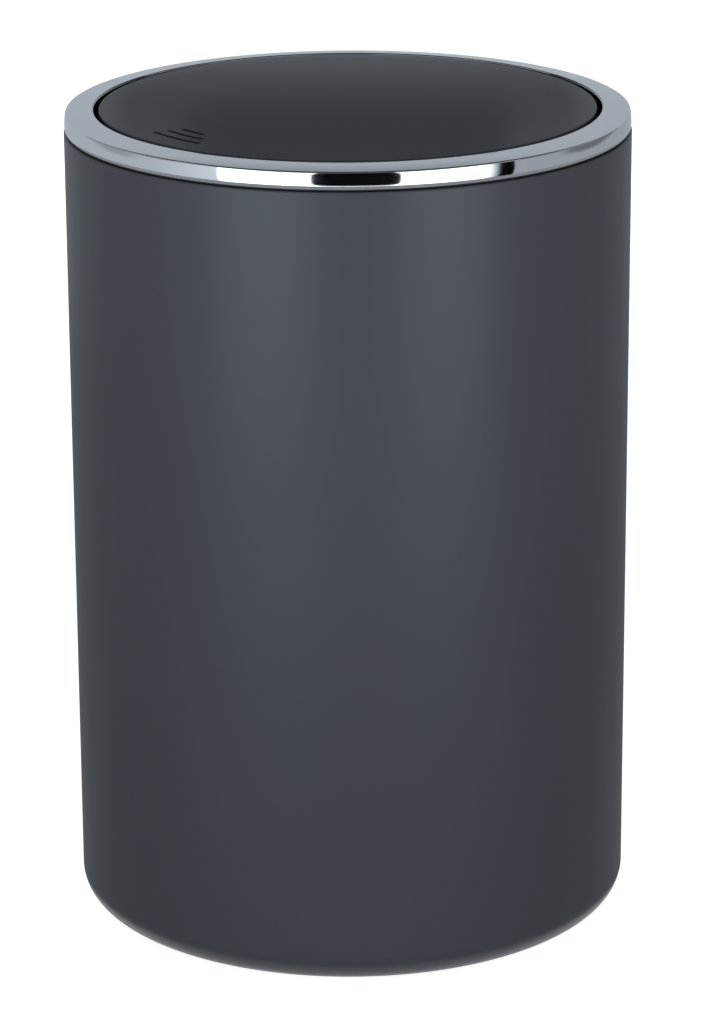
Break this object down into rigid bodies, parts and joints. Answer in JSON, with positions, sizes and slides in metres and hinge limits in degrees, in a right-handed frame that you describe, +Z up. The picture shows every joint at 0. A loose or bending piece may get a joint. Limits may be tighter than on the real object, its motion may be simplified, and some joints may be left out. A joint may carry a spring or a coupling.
{
  "type": "round worktop bin with tilting flap lid",
  "caption": "Tall round worktop bin with a rounded foot and a lift-off lid: a bright ring round a flush flap that tips open when its marked edge is pushed and swings shut by its own weight.",
  "frame": {"origin": "centre of the underside, on the worktop", "axes": "+Z up along the body's axis; the flap's hinge lies along X; the push mark is at the front, towards -Y"},
  "size_m": [0.174, 0.174, 0.256],
  "materials": {
    "anthracite_plastic": "satin",
    "black_plastic": "matte",
    "chromed_plastic": "polished",
    "plated_steel": "satin",
    "pin_steel": "polished",
    "acetal": "satin",
    "elastomer": "matte"
  },
  "bodies": {
    "bin": {"body": "anthracite_plastic", "foot_pad_1": "elastomer", "foot_pad_2": "elastomer", "foot_pad_3": "elastomer", "foot_pad_4": "elastomer"},
    "lid": {"lid_frame": "black_plastic", "trim_ring": "chromed_plastic", "trim_screws": "plated_steel", "pivot_bush_left": "acetal", "pivot_bush_right": "acetal", "stop_pad_left": "elastomer", "stop_pad_right": "elastomer"},
    "flap": {"flap_top": "anthracite_plastic", "flap_base": "black_plastic", "flap_screws": "plated_steel", "counterweight": "plated_steel", "weight_screws": "plated_steel", "pivot_pin_left": "pin_steel", "pivot_pin_right": "pin_steel"}
  },
  "joints": [
    {"name": "lid_lift", "type": "slide", "parent": "bin", "child": "lid", "axis": [0, 0, 1], "range_m": [0, 0.08]},
    {"name": "flap_tilt", "type": "hinge", "parent": "lid", "child": "flap", "pos_m": [0, 0, 0.2459], "axis": [1, 0, 0], "range_deg": [0, 75]}
  ]
}
